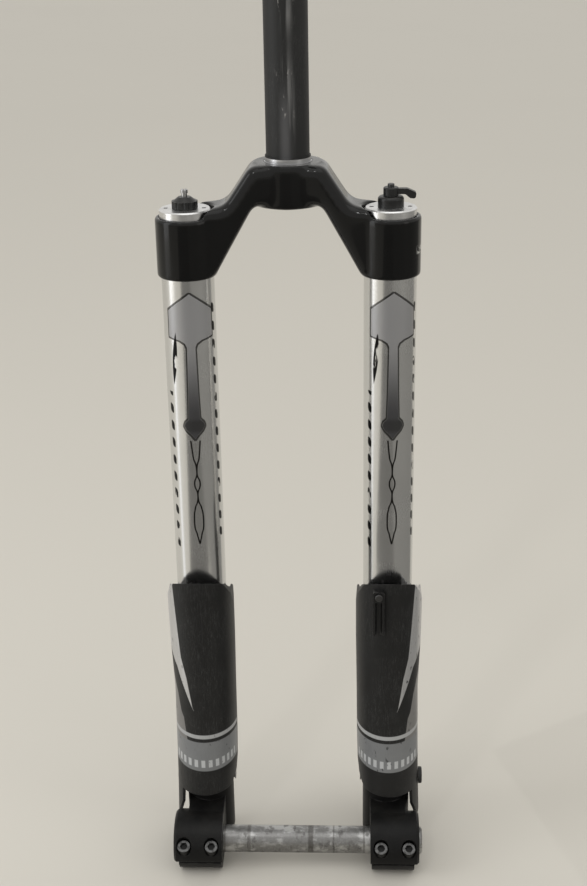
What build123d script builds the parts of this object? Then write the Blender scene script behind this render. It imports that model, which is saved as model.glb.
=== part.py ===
from build123d import *
from math import cos, radians, sin
import os

# Inverted single-crown suspension fork. Millimetres, +Z up along the steerer, the front faces -Y.
# Left and right are the rider's: left is +X, the disc brake side. The origin is the centre of the
# crown race seat, on the steerer axis.

# ---- driving dimensions -------------------------------------------------------------------------
leg_x = 67.0                # half the distance between the two leg axes
leg_y = -18.0               # the legs stand this far in front of the steerer
axle_y = -50.0              # fork offset at the axle
axle_z = -501.0             # axle to crown length
hub_gap = 55.0              # half the width between the clamps, for a 110 mm hub
clamp_end = 91.0            # outer end of each axle clamp

steerer_r = 14.3            # 28.6 mm steerer
steerer_bore_r = 11.1
steerer_top = 200.0
race_r = 15.05              # 30.1 mm crown race seat
race_height = 3.5
root_r = 15.6               # foot of the steerer, pressed into the crown
hub_top = -0.5

hub_r = 23.5                # crown hub
hub_bottom = -30.0
arm_hub_r = 19.0            # half the front-to-back depth of a crown arm, at the hub
arm_socket_r = 17.0         # and at the socket
arm_round = 6.0
socket_r = 20.0
socket_top = -32.5
socket_bottom = -72.3
cap_recess_r = 18.6         # round recess that the arm is cut back to, around the cap

tube_r = 17.5               # 35 mm outer tube
tube_bore_r = 16.0
tube_top = -34.0
tube_bottom = -348.0
collar_r = 19.0             # seal housing at the foot of the outer tube
collar_top = -328.0
seal_seat_r = 17.4
seal_seat_top = -333.0

stanchion_r = 15.0          # 30 mm stanchion
stanchion_bore_r = 13.5
stanchion_top = -195.0
stanchion_bottom = -495.0
running = 0.05              # radial clearance of a running fit
bush_length = 22.0

cap_r = 17.0
cap_face = -27.5
cap_thread_bottom = -48.0
o_ring_z = -38.5
o_ring_height = 2.0
o_ring_groove_r = 14.8

spacer_r = 12.5
spacer_bore_r = 10.0
spring_top = -130.0
spring_bottom = -320.0
spring_gap = 0.3
wire_r = 1.6
spring_turns = 15
rod_r = 4.5
rod_bottom = -352.0
piston_z = -346.0
piston_height = 10.0
cartridge_r = 11.0
cartridge_bore_r = 10.0
cartridge_head_height = 12.0
cartridge_bottom = -488.0
cartridge_base = 8.0

neck_r = 17.5               # foot socket that holds the stanchion
neck_top = -456.0
foot_bottom = -512.0
foot_floor = -495.0
foot_bolt_r = 4.0
foot_bolt_head_r = 6.5
foot_bolt_head_z = -503.0

axle_r = 10.0
axle_bore_r = 7.0
axle_left_end = 93.5
axle_right_end = -90.0
boss_r = 21.5               # round outside of the axle clamp
jaw_bottom = -520.5         # flat under the lower jaw
jaw_outer_end = 87.5        # the lower jaw is shorter than the boss
jaw_inner_end = 56.0
pinch_tilt = 30.0           # the pinch bolts lean this far forward from vertical
pinch_reach = 13.6          # from the axle axis to the pinch bolts, along the slit
pinch_x = (62.8, 83.2)
slit_height = 3.2
slit_width = 1.6
pinch_seat = 10.5           # the heads sit this far above the axle axis
m6_r = 3.0
m6_head_r = 5.0
m6_head_height = 6.0
m6_hex = 5.0
m6_tip = -12.5

tab_x = (61.0, 69.0)        # disc brake tabs, left foot only
tab_y = 22.0
tab_low_z = -489.0
tab_spacing = 51.0          # international standard disc mount
tab_hole_r = 3.1
tab_r = 7.5

guard_wall = 1.9
guard_top = -287.5
guard_front_bottom = -465.5
rim_fall = 19.5             # the rim is this much lower at the open back than in front
guard_cheek_bottom = -494.0
guard_back = -9.0           # the guard is open behind this
guard_depth = 28.5          # from the leg axis to the front of the guard
guard_screw_z = -465.0
guard_screw_r = 2.5
guard_screw_head_r = 4.4
lug_r = 5.5                 # lugs on the foot that the guard is screwed to
lug_reach = (17.6, 21.9)    # inboard and outboard ends of the lugs, from the leg axis

control_r = 8.5             # base of the lockout, and the preload knob
lockout_base_top = -20.5
lever_bottom = -20.2        # the lever turns just clear of its base
lever_hub_r = 5.0
lever_arm_width = 4.4
lever_screw_r = 1.6
lever_top = -14.8
knob_rim_top = -22.6
knob_top = -20.0
adjuster_r = 1.9
adjuster_top = -15.2
axle_groove = 1.6
axle_hex = 10.0

clip_x = 60.3
clip_low = -327.0
clip_high = -292.5
clip_width = 8.0
clip_back = -41.0
clip_front = -49.6
clip_screw_land = 8.0
clip_gap = 0.3              # between the clip's back and the guard
clip_screw_r = 1.5
hose_r = 2.6
# guard sections: height, inboard reach and outboard reach from the leg axis
guard_sections = ((-286.0, 22.7, 25.4), (-343.0, 22.7, 24.6), (-384.0, 22.2, 23.0),
                  (-425.0, 21.9, 23.6), (-448.0, 21.4, 24.0), (-466.0, 19.8, 24.4),
                  (-496.0, 19.8, 25.4))

os.makedirs("parts", exist_ok=True)


def save(part, name):
    """Label a finished piece and write its STEP file."""
    part.label = name
    export_step(part, f"parts/{name}.step")


def leg_plane(side, z):
    """Level plane whose centre is on a leg's axis."""
    return Plane((side * leg_x, leg_y, z))


def ring(side, low, high, outer, inner, edge=0.0):
    """Plain ring or tube about a leg's axis, its outer corners broken by edge."""
    with BuildPart() as ring_part:
        with BuildSketch(leg_plane(side, low)):
            Circle(outer)
            if inner:
                Circle(inner, mode=Mode.SUBTRACT)
        extrude(amount=high - low)
        if edge:
            rims = ring_part.edges().filter_by(GeomType.CIRCLE).group_by(SortBy.RADIUS)[-1]
            chamfer(rims, edge)
    return ring_part.part


# ---- steerer and crown --------------------------------------------------------------------------
def steerer_tube():
    with BuildPart() as steerer:
        with BuildSketch(Plane.XY.offset(hub_bottom + 1)):
            Circle(root_r)
        extrude(amount=hub_top - hub_bottom - 1)
        with BuildSketch(Plane.XY.offset(hub_top)):
            Circle(race_r)
        extrude(amount=race_height - hub_top)
        with BuildSketch(Plane.XY.offset(race_height)):
            Circle(steerer_r)
        extrude(amount=steerer_top - race_height)
        with BuildSketch(Plane.XY.offset(hub_bottom + 1)):
            Circle(steerer_bore_r)
        extrude(amount=steerer_top - hub_bottom - 1, mode=Mode.SUBTRACT)
        chamfer(steerer.edges().group_by(Axis.Z)[-1], 0.6)
    return steerer.part


def crown_arm():
    """Left arm from hub to socket: the gull outline cut to the arm's plan, its edges rounded."""
    outline = ((-26.0, hub_top), (24.0, hub_top), (41.5, -26.0), (leg_x + 23, -28.6),
               (leg_x + 23, socket_bottom), (48.5, socket_bottom), (21.5, -25.5),
               (0.0, hub_bottom - 0.5), (-26.0, -25.0))
    with BuildPart() as arm:
        with BuildSketch(Plane.XZ):
            with BuildLine():
                FilletPolyline(*outline, radius=(1, 8, 12, 1, 1, 7, 7, 24, 1), close=True)
            make_face()
        extrude(amount=60, both=True)
        with BuildSketch(Plane.XY.offset(socket_bottom - 1)):
            Circle(arm_hub_r)
            with Locations((leg_x, leg_y)):
                Circle(arm_socket_r)
            make_hull()
        extrude(amount=-socket_bottom + 2, mode=Mode.INTERSECT)
        rims = [edge for edge in arm.edges() if edge.bounding_box().size.X > 0.5]
        fillet(rims, arm_round)
    return arm.part


def crown():
    left_arm = crown_arm()
    left_socket = ring(1, socket_bottom, socket_top, socket_r, 0, 1.0)
    with BuildPart() as body:
        add(left_arm)
        add(left_socket)
        with BuildSketch(leg_plane(1, socket_bottom)):
            Circle(tube_r)
        extrude(amount=50, mode=Mode.SUBTRACT)
        with BuildSketch(leg_plane(1, socket_top)):
            Circle(cap_recess_r)
        extrude(amount=10, mode=Mode.SUBTRACT)
        split(bisect_by=Plane.YZ, keep=Keep.TOP)
        mirror(about=Plane.YZ)
        with BuildSketch(Plane.XY.offset(hub_bottom + 1)):
            Circle(hub_r)
        extrude(amount=hub_top - hub_bottom - 1)
        with BuildSketch(Plane.XY.offset(hub_bottom - 2)):
            Circle(root_r)
        extrude(amount=40, mode=Mode.SUBTRACT)
    return body.part


# ---- upper leg ----------------------------------------------------------------------------------
def outer_tube(side):
    with BuildPart() as tube:
        with BuildSketch(leg_plane(side, tube_bottom)):
            Circle(collar_r)
        extrude(amount=collar_top - tube_bottom)
        chamfer(tube.edges().group_by(Axis.Z)[-1], 1.4)
        with BuildSketch(leg_plane(side, collar_top)):
            Circle(tube_r)
        extrude(amount=tube_top - collar_top)
        with BuildSketch(leg_plane(side, tube_bottom)):
            Circle(tube_bore_r)
        extrude(amount=tube_top - tube_bottom, mode=Mode.SUBTRACT)
        with BuildSketch(leg_plane(side, tube_bottom)):
            Circle(seal_seat_r)
        extrude(amount=seal_seat_top - tube_bottom, mode=Mode.SUBTRACT)
    return tube.part


def top_cap(side):
    with BuildPart() as cap:
        with BuildSketch(leg_plane(side, cap_thread_bottom)):
            Circle(tube_bore_r)
        extrude(amount=tube_top - cap_thread_bottom)
        with BuildSketch(leg_plane(side, tube_top)):
            Circle(cap_r)
        extrude(amount=cap_face - tube_top)
        chamfer(cap.edges().group_by(Axis.Z)[-1], 0.8)
        # groove for the O-ring, and the hollow under the cap
        with BuildSketch(leg_plane(side, o_ring_z)):
            Circle(tube_bore_r + 1)
            Circle(o_ring_groove_r, mode=Mode.SUBTRACT)
        extrude(amount=o_ring_height, mode=Mode.SUBTRACT)
        with BuildSketch(leg_plane(side, cap_thread_bottom)):
            Circle(tube_bore_r - 3)
            Circle(8.0, mode=Mode.SUBTRACT)
        extrude(amount=9, mode=Mode.SUBTRACT)
        with BuildSketch(leg_plane(side, cap_thread_bottom)):
            Circle(rod_r)
        extrude(amount=40, mode=Mode.SUBTRACT)
        # two holes for a pin spanner
        with BuildSketch(leg_plane(side, cap_face)):
            with Locations((-12.5, 0), (12.5, 0)):
                Circle(1.5)
        extrude(amount=-2.5, mode=Mode.SUBTRACT)
    return cap.part


def dust_wiper(side):
    with BuildPart() as wiper:
        with BuildSketch(leg_plane(side, tube_bottom)):
            Circle(seal_seat_r)
        extrude(amount=4.5)
        with BuildSketch(leg_plane(side, tube_bottom - 2.5)):
            Circle(collar_r - 0.3)
        extrude(amount=2.5)
        chamfer(wiper.edges().group_by(Axis.Z)[0], 1.5)
        with BuildSketch(leg_plane(side, tube_bottom - 2.5)):
            Circle(stanchion_r + running)
        extrude(amount=7, mode=Mode.SUBTRACT)
    return wiper.part


def damper_rod(side):
    with BuildPart() as rod:
        with BuildSketch(leg_plane(side, rod_bottom)):
            Circle(rod_r)
            Circle(2.2, mode=Mode.SUBTRACT)
        extrude(amount=-40.0 - rod_bottom)
    return rod.part


def damper_piston(side):
    with BuildPart() as piston:
        with BuildSketch(leg_plane(side, piston_z)):
            Circle(cartridge_bore_r - running)
            Circle(rod_r, mode=Mode.SUBTRACT)
            with PolarLocations(7.2, 6):
                Circle(1.3, mode=Mode.SUBTRACT)
        extrude(amount=piston_height)
    return piston.part


def main_spring(side):
    coil_r = spacer_r - wire_r
    low = spring_bottom + spring_gap + wire_r
    height = spring_top - spring_gap - wire_r - low
    with BuildPart() as spring:
        with BuildLine() as coil:
            Helix(pitch=height / spring_turns, height=height, radius=coil_r,
                  center=(side * leg_x, leg_y, low))
        with BuildSketch(Plane(coil.line @ 0, z_dir=coil.line % 0)):
            Circle(wire_r)
        sweep(is_frenet=True)
    return spring.part


# ---- lower leg ----------------------------------------------------------------------------------
def cartridge_tube(side):
    with BuildPart() as cartridge:
        with BuildSketch(leg_plane(side, cartridge_bottom)):
            Circle(cartridge_r)
        extrude(amount=spring_bottom - cartridge_head_height - cartridge_bottom)
        with BuildSketch(leg_plane(side, cartridge_bottom + cartridge_base)):
            Circle(cartridge_bore_r)
        extrude(amount=200, mode=Mode.SUBTRACT)
        with BuildSketch(leg_plane(side, cartridge_bottom)):
            Circle(foot_bolt_r)
        extrude(amount=cartridge_base, mode=Mode.SUBTRACT)
    return cartridge.part


def foot_bolt(side):
    with BuildPart() as bolt:
        with BuildSketch(leg_plane(side, foot_bolt_head_z)):
            Circle(foot_bolt_head_r)
        extrude(amount=-8.0)
        with BuildSketch(leg_plane(side, foot_bolt_head_z)):
            Circle(foot_bolt_r)
        extrude(amount=cartridge_bottom + cartridge_base - foot_bolt_head_z)
        with BuildSketch(leg_plane(side, foot_bolt_head_z - 8.0)):
            RegularPolygon(3.0, 6, major_radius=False)
        extrude(amount=4.5, mode=Mode.SUBTRACT)
    return bolt.part


def pinch_plane(height):
    """Plane square to the pinch bolts; its Y runs back and up along the slit, on the left foot."""
    lean = radians(pinch_tilt)
    up = Vector(0, -sin(lean), cos(lean))
    return Plane(Vector(0, axle_y, axle_z) + up * height, x_dir=(1, 0, 0), z_dir=up)


def pinch_places():
    return Locations(*[(x, -pinch_reach) for x in pinch_x])


def left_foot(with_tabs):
    """Foot of the left leg: stanchion socket, split axle clamp and, if asked, the disc tabs."""
    with BuildPart() as foot:
        with BuildSketch(leg_plane(1, foot_bottom)):
            Circle(neck_r)
        extrude(amount=neck_top - foot_bottom)
        chamfer(foot.edges().group_by(Axis.Z)[-1], 0.8)
        chamfer(foot.edges().group_by(Axis.Z)[0], 2.0)
        # web that joins the socket to the clamp, then the clamp's round boss
        with BuildSketch(Plane.YZ.offset(hub_gap)):
            with Locations((axle_y, axle_z)):
                Circle(boss_r - 1.5)
            with Locations((leg_y, -486.0)):
                Circle(12.0)
            with Locations((leg_y, -500.0)):
                Circle(12.0)
            make_hull()
        extrude(amount=leg_x + neck_r - hub_gap - 3)
        with BuildSketch(Plane.YZ.offset(hub_gap)):
            with Locations((axle_y, axle_z)):
                Circle(boss_r)
        extrude(amount=clamp_end - hub_gap)
        chamfer(foot.faces().sort_by(Axis.X)[-1].outer_wire().edges(), 1.6)
        # lugs that carry the guard
        with BuildSketch(Plane.YZ.offset(leg_x - lug_reach[0])):
            with Locations((leg_y, guard_screw_z)):
                Circle(lug_r)
        extrude(amount=lug_reach[0] + lug_reach[1])
        # flat under the lower jaw, and its two shortened ends
        with BuildSketch(Plane.XY.offset(jaw_bottom)):
            with Locations((leg_x, axle_y)):
                Rectangle(60, 60)
        extrude(amount=-10, mode=Mode.SUBTRACT)
        with BuildSketch(pinch_plane(slit_height)):
            with Locations(((jaw_outer_end + clamp_end) / 2 + 2, 0)):
                Rectangle(clamp_end - jaw_outer_end + 4, 60)
            with Locations((jaw_inner_end - 4, -13)):
                Rectangle(8, 34)
        extrude(amount=-30, mode=Mode.SUBTRACT)
        if with_tabs:
            with BuildSketch(Plane.YZ.offset(tab_x[0])):
                with Locations((leg_y + 14, -487.0)):
                    Circle(9)
                with Locations((tab_y, tab_low_z), (tab_y, tab_low_z + tab_spacing)):
                    Circle(tab_r)
                make_hull()
            extrude(amount=tab_x[1] - tab_x[0])
            with BuildSketch(Plane.YZ.offset(tab_x[0])):
                with Locations((tab_y, tab_low_z), (tab_y, tab_low_z + tab_spacing)):
                    Circle(tab_hole_r)
            extrude(amount=tab_x[1] - tab_x[0], mode=Mode.SUBTRACT)
        # bores for the stanchion, the foot bolt, the axle and the guard screws
        with BuildSketch(leg_plane(1, foot_floor)):
            Circle(stanchion_r)
        extrude(amount=80, mode=Mode.SUBTRACT)
        with BuildSketch(leg_plane(1, foot_bottom)):
            Circle(foot_bolt_r + 0.2)
        extrude(amount=40, mode=Mode.SUBTRACT)
        with BuildSketch(leg_plane(1, foot_bolt_head_z)):
            Circle(foot_bolt_head_r + 0.6)
        extrude(amount=-30, mode=Mode.SUBTRACT)
        with BuildSketch(Plane.YZ.offset(hub_gap - 5)):
            with Locations((axle_y, axle_z)):
                Circle(axle_r + running)
        extrude(amount=clamp_end - hub_gap + 10, mode=Mode.SUBTRACT)
        with BuildSketch(pinch_plane(slit_height)):
            with Locations(((hub_gap + clamp_end) / 2, -15)):
                Rectangle(60, 30)
        extrude(amount=slit_width, mode=Mode.SUBTRACT)
        with BuildSketch(pinch_plane(pinch_seat)):
            with pinch_places():
                Circle(m6_head_r + 0.5)
        extrude(amount=20, mode=Mode.SUBTRACT)
        with BuildSketch(pinch_plane(m6_tip - 0.5)):
            with pinch_places():
                Circle(m6_r)
        extrude(amount=pinch_seat - m6_tip + 1, mode=Mode.SUBTRACT)
        with BuildSketch(Plane.YZ.offset(leg_x - 30)):
            with Locations((leg_y, guard_screw_z)):
                Circle(guard_screw_r)
        extrude(amount=60, mode=Mode.SUBTRACT)
    return foot.part


def left_pinch_bolts():
    with BuildPart() as bolts:
        with BuildSketch(pinch_plane(m6_tip)):
            with pinch_places():
                Circle(m6_r)
        extrude(amount=pinch_seat - m6_tip)
        with BuildSketch(pinch_plane(pinch_seat)):
            with pinch_places():
                Circle(m6_head_r)
        extrude(amount=m6_head_height)
        chamfer(bolts.edges().filter_by(GeomType.CIRCLE).sort_by(Axis.Z)[-2:], 0.5)
        with BuildSketch(pinch_plane(pinch_seat + m6_head_height)):
            with pinch_places():
                RegularPolygon(m6_hex / 2, 6, major_radius=False)
        extrude(amount=-3.2, mode=Mode.SUBTRACT)
    return bolts.part


def left_guard_screws(socket=True):
    """Two countersunk screws that hold the guard to the foot, one from each side."""
    inboard = leg_x - guard_sections[-2][1]
    outboard = leg_x + guard_sections[-2][2]
    thread_end = stanchion_r + 0.3
    with BuildPart() as screws:
        for face, tip, direction in ((inboard, leg_x - thread_end, 1),
                                     (outboard, leg_x + thread_end, -1)):
            seat = Plane((face, leg_y, guard_screw_z), x_dir=(0, 1, 0), z_dir=(direction, 0, 0))
            with BuildSketch(seat.offset(0.2)):
                Circle(guard_screw_head_r)
            with BuildSketch(seat.offset(guard_wall)):
                Circle(guard_screw_r)
            loft()
            with BuildSketch(seat.offset(guard_wall)):
                Circle(guard_screw_r)
            extrude(amount=abs(tip - face) - guard_wall)
            if socket:
                with BuildSketch(seat.offset(0.2)):
                    RegularPolygon(1.5, 6, major_radius=False)
                extrude(amount=1.6, mode=Mode.SUBTRACT)
    return screws.part


def guard_form(inset):
    """Solid oval form of the left guard, drawn in by inset all round."""
    with BuildPart() as form:
        for height, inboard, outboard in guard_sections:
            with BuildSketch(leg_plane(1, height)):
                with Locations(((outboard - inboard) / 2, 0)):
                    Ellipse((outboard + inboard) / 2 - inset, guard_depth - inset)
        loft(ruled=True)
    return form.part


def left_guard(with_clip):
    """Guard of the left leg: an oval shell, open behind, with one long cheek outside."""
    outside = guard_form(0)
    inside = guard_form(guard_wall)
    screw_shapes = left_guard_screws(socket=False)
    with BuildPart() as guard:
        add(outside)
        add(inside, mode=Mode.SUBTRACT)
        # outline from the front: rounded shoulders, and the cheek that hangs lower outside
        front = ((leg_x - 13.5, guard_top), (leg_x + 15.5, guard_top),
                 (leg_x + 20.4, guard_top - 8), (leg_x + 24, guard_top - 17.5),
                 (leg_x + 25.7, guard_top - 32), (leg_x + 25.7, guard_cheek_bottom),
                 (leg_x + 19, guard_cheek_bottom), (leg_x + 17, guard_front_bottom),
                 (leg_x - 17, guard_front_bottom), (leg_x - 22.9, guard_front_bottom + 11),
                 (leg_x - 22.9, guard_top - 30), (leg_x - 21.6, guard_top - 17.5),
                 (leg_x - 18.2, guard_top - 8))
        with BuildSketch(Plane.XZ):
            with BuildLine():
                FilletPolyline(*front, close=True,
                               radius=(4, 4, 6, 8, 8, 3, 2, 4, 4, 6, 8, 8, 6))
            make_face()
        extrude(amount=60, both=True, mode=Mode.INTERSECT)
        # from the side: a rim that falls to the back, the back open, the cheek clear of the clamp
        side_view = ((guard_back, guard_top - rim_fall), (leg_y - 40, guard_top + 6),
                     (leg_y - 40, guard_front_bottom), (leg_y - 18, guard_front_bottom),
                     (leg_y - 18, -477.0), (leg_y - 9.5, guard_cheek_bottom - 1),
                     (guard_back, guard_cheek_bottom - 1))
        with BuildSketch(Plane.YZ):
            with BuildLine():
                FilletPolyline(*side_view, radius=(10, 1, 1, 1, 5, 1, 8), close=True)
            make_face()
        extrude(amount=120, mode=Mode.INTERSECT)
        add(screw_shapes, mode=Mode.SUBTRACT)
        # the countersinks open to the outside of both cheeks
        for face, direction in ((leg_x - guard_sections[-2][1] + 0.2, -1),
                                (leg_x + guard_sections[-2][2] - 0.2, 1)):
            with BuildSketch(Plane.YZ.offset(face)):
                with Locations((leg_y, guard_screw_z)):
                    Circle(guard_screw_head_r)
            extrude(amount=direction * 2.0, mode=Mode.SUBTRACT)
        if with_clip:
            with BuildSketch(clip_screw_plane(leg_y - guard_depth - 1)):
                Circle(clip_screw_r)
            extrude(amount=10, mode=Mode.SUBTRACT)
    return guard.part


# ---- axle, controls and hose clips --------------------------------------------------------------
def axle():
    with BuildPart() as body:
        with BuildSketch(Plane.YZ.offset(axle_right_end)):
            with Locations((axle_y, axle_z)):
                Circle(axle_r)
        extrude(amount=axle_left_end - axle_right_end)
        chamfer(body.edges().group_by(Axis.X)[0], 1.2)
        chamfer(body.edges().group_by(Axis.X)[-1], 1.2)
        # shallow grooves at the ends of the hub's seat, just short of the clamps
        for start in (hub_gap - 0.1, -hub_gap + 0.1 - axle_groove):
            with BuildSketch(Plane.YZ.offset(start)):
                with Locations((axle_y, axle_z)):
                    Circle(axle_r + 1)
                    Circle(axle_r - 0.4, mode=Mode.SUBTRACT)
            extrude(amount=axle_groove, mode=Mode.SUBTRACT)
        with BuildSketch(Plane.YZ.offset(axle_right_end)):
            with Locations((axle_y, axle_z)):
                Circle(axle_bore_r)
        extrude(amount=axle_left_end - axle_right_end - 12, mode=Mode.SUBTRACT)
        with BuildSketch(Plane.YZ.offset(axle_left_end)):
            with Locations((axle_y, axle_z)):
                RegularPolygon(axle_hex / 2, 6, major_radius=False)
        extrude(amount=-12, mode=Mode.SUBTRACT)
    return body.part


def lockout_base():
    with BuildPart() as base:
        with BuildSketch(leg_plane(1, cap_face)):
            Circle(control_r)
        extrude(amount=lockout_base_top - cap_face)
        fillet(base.edges().group_by(Axis.Z)[-1], 2.0)
    return base.part


def lockout_lever():
    """Round hub with an arm that reaches out over the cap and turns down at its tip."""
    arm = ((leg_x + 2, lever_top - 0.8), (leg_x + 10.5, lever_top - 0.8),
           (leg_x + 16.4, lever_top - 3.4), (leg_x + 15.9, lever_top - 7.4),
           (leg_x + 12.2, lever_top - 7.0), (leg_x + 9.2, lever_top - 4.4),
           (leg_x + 2, lever_top - 4.4))
    with BuildPart() as lever:
        with BuildSketch(Plane.XZ.offset(-leg_y)):
            with BuildLine():
                FilletPolyline(*arm, radius=(0.2, 3, 1.6, 1.5, 2, 2, 0.2), close=True)
            make_face()
        extrude(amount=lever_arm_width / 2, both=True)
        with BuildSketch(leg_plane(1, lever_bottom)):
            Circle(lever_hub_r)
        extrude(amount=lever_top - lever_bottom)
        chamfer(lever.edges().group_by(Axis.Z)[-1], 0.6)
        with BuildSketch(leg_plane(1, lever_bottom)):
            Circle(lever_screw_r)
        extrude(amount=20, mode=Mode.SUBTRACT)
    return lever.part


def lever_screw():
    with BuildPart() as screw:
        with BuildSketch(leg_plane(1, lever_bottom)):
            Circle(lever_screw_r)
        extrude(amount=lever_top - lever_bottom)
        with BuildSketch(leg_plane(1, lever_top)):
            Circle(2.2)
        extrude(amount=2.3)
        fillet(screw.edges().group_by(Axis.Z)[-1], 0.7)
    return screw.part


def preload_knob():
    """Fluted knob with a sloping top, free to turn on the right cap."""
    with BuildPart() as knob:
        with BuildSketch(leg_plane(-1, cap_face + 0.2)):
            Circle(control_r)
            with PolarLocations(control_r + 0.9, 12):
                Circle(1.5, mode=Mode.SUBTRACT)
        extrude(amount=knob_rim_top - cap_face - 0.2)
        with BuildSketch(leg_plane(-1, knob_rim_top)):
            Circle(control_r - 0.9)
        with BuildSketch(leg_plane(-1, knob_top)):
            Circle(4.2)
        loft()
        with BuildSketch(leg_plane(-1, cap_face)):
            Circle(adjuster_r + running)
        extrude(amount=20, mode=Mode.SUBTRACT)
    return knob.part


def rebound_adjuster():
    with BuildPart() as adjuster:
        with BuildSketch(leg_plane(-1, cap_face + 0.2)):
            Circle(adjuster_r)
        extrude(amount=adjuster_top - cap_face - 0.2)
        with BuildSketch(leg_plane(-1, adjuster_top)):
            Circle(adjuster_r + 0.5)
        extrude(amount=-2.4)
        chamfer(adjuster.edges().group_by(Axis.Z)[-1], 0.4)
        with BuildSketch(leg_plane(-1, adjuster_top)):
            Rectangle(0.7, 8)
        extrude(amount=-1.0, mode=Mode.SUBTRACT)
    return adjuster.part


def clip_screw_plane(y):
    """Upright plane whose centre is on the axis of the hose clip's screw."""
    return Plane((clip_x, y, clip_high - clip_screw_land / 2), x_dir=(1, 0, 0), z_dir=(0, 1, 0))


def hose_clip():
    """Clip on the front of the left guard: a pad with a half-round seat for a 5 mm hose."""
    _, inboard, outboard = guard_sections[0]
    with BuildPart() as clip:
        with BuildSketch(Plane.XZ.offset(-clip_back)):
            with Locations((clip_x, (clip_low + clip_high) / 2)):
                RectangleRounded(clip_width, clip_high - clip_low, 1.6)
        extrude(amount=clip_back - clip_front)
        # the back follows the round front of the guard
        with BuildSketch(leg_plane(1, clip_low - 1)):
            with Locations(((outboard - inboard) / 2, 0)):
                Ellipse((outboard + inboard) / 2 + clip_gap, guard_depth + clip_gap)
        extrude(amount=clip_high - clip_low + 2, mode=Mode.SUBTRACT)
        with BuildSketch(Plane.XY.offset(clip_low - 1)):
            with Locations((clip_x, clip_front + 0.4)):
                Circle(hose_r)
        extrude(amount=clip_high - clip_low - clip_screw_land + 1, mode=Mode.SUBTRACT)
        with BuildSketch(clip_screw_plane(clip_front - 1)):
            Circle(clip_screw_r)
        extrude(amount=20, mode=Mode.SUBTRACT)
    return clip.part


def hose_clip_screw():
    with BuildPart() as screw:
        with BuildSketch(clip_screw_plane(clip_front)):
            Circle(clip_screw_r)
        extrude(amount=7.5)
        with BuildSketch(clip_screw_plane(clip_front - 1.4)):
            Circle(2.6)
        extrude(amount=1.4)
        fillet(screw.edges().group_by(Axis.Y)[0], 0.5)
    return screw.part


def hose_guide():
    """Low clip under the left leg's outer guard screw, where the brake hose turns back."""
    face = leg_x + guard_sections[-2][2] + 0.25
    with BuildPart() as guide:
        with BuildSketch(Plane.YZ.offset(face)):
            with Locations((leg_y, guard_screw_z)):
                Circle(6.3)
        extrude(amount=2.6)
        fillet(guide.edges().group_by(Axis.X)[-1], 1.0)
    return guide.part


# ---- write every piece --------------------------------------------------------------------------
def write_uppers():
    save(steerer_tube(), "steerer_tube")
    save(crown(), "crown")
    for side, name in ((1, "left"), (-1, "right")):
        save(outer_tube(side), f"outer_tube_{name}")
        save(top_cap(side), f"top_cap_{name}")
        save(ring(side, o_ring_z, o_ring_z + o_ring_height, tube_bore_r, o_ring_groove_r),
             f"top_cap_o_ring_{name}")
        save(ring(side, seal_seat_top + 8, seal_seat_top + 8 + bush_length, tube_bore_r,
                  stanchion_r + running), f"fixed_bush_{name}")
        save(ring(side, seal_seat_top - 8, seal_seat_top, seal_seat_r, stanchion_r + running, 0.6),
             f"oil_seal_{name}")
        save(ring(side, seal_seat_top - 9.2, seal_seat_top - 8, seal_seat_r, stanchion_r + 0.8),
             f"seal_clip_{name}")
        save(dust_wiper(side), f"dust_wiper_{name}")
        save(damper_rod(side), f"damper_rod_{name}")
        save(damper_piston(side), f"damper_piston_{name}")
        save(ring(side, spring_top, cap_thread_bottom, spacer_r, spacer_bore_r),
             f"preload_spacer_{name}")
        save(main_spring(side), f"main_spring_{name}")


def write_lowers():
    for side, name in ((1, "left"), (-1, "right")):
        save(ring(side, stanchion_bottom, stanchion_top, stanchion_r, stanchion_bore_r, 0.4),
             f"stanchion_{name}")
        save(ring(side, stanchion_top - bush_length, stanchion_top - 2, tube_bore_r - running,
                  stanchion_r), f"slider_bush_{name}")
        save(cartridge_tube(side), f"cartridge_tube_{name}")
        save(ring(side, spring_bottom - cartridge_head_height, spring_bottom, cartridge_r,
                  rod_r + running, 0.6), f"cartridge_head_{name}")
        save(foot_bolt(side), f"foot_bolt_{name}")
    save(left_foot(with_tabs=True), "axle_foot_left")
    save(left_foot(with_tabs=False).mirror(Plane.YZ), "axle_foot_right")
    save(left_guard(with_clip=True), "guard_left")
    save(left_guard(with_clip=False).mirror(Plane.YZ), "guard_right")
    for left_piece, name in ((left_pinch_bolts(), "pinch_bolts"),
                             (left_guard_screws(), "guard_screws")):
        save(left_piece, f"{name}_left")
        save(left_piece.mirror(Plane.YZ), f"{name}_right")
    save(hose_clip(), "hose_clip")
    save(hose_clip_screw(), "hose_clip_screw")
    save(hose_guide(), "hose_guide")
    save(axle(), "axle")


def write_controls():
    save(lockout_base(), "lockout_base")
    save(lockout_lever(), "lockout_lever")
    save(lever_screw(), "lever_screw")
    save(preload_knob(), "preload_knob")
    save(rebound_adjuster(), "rebound_adjuster")


write_uppers()
write_lowers()
write_controls()
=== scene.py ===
import math
import bpy
import bmesh
from mathutils import Matrix, Vector


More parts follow.
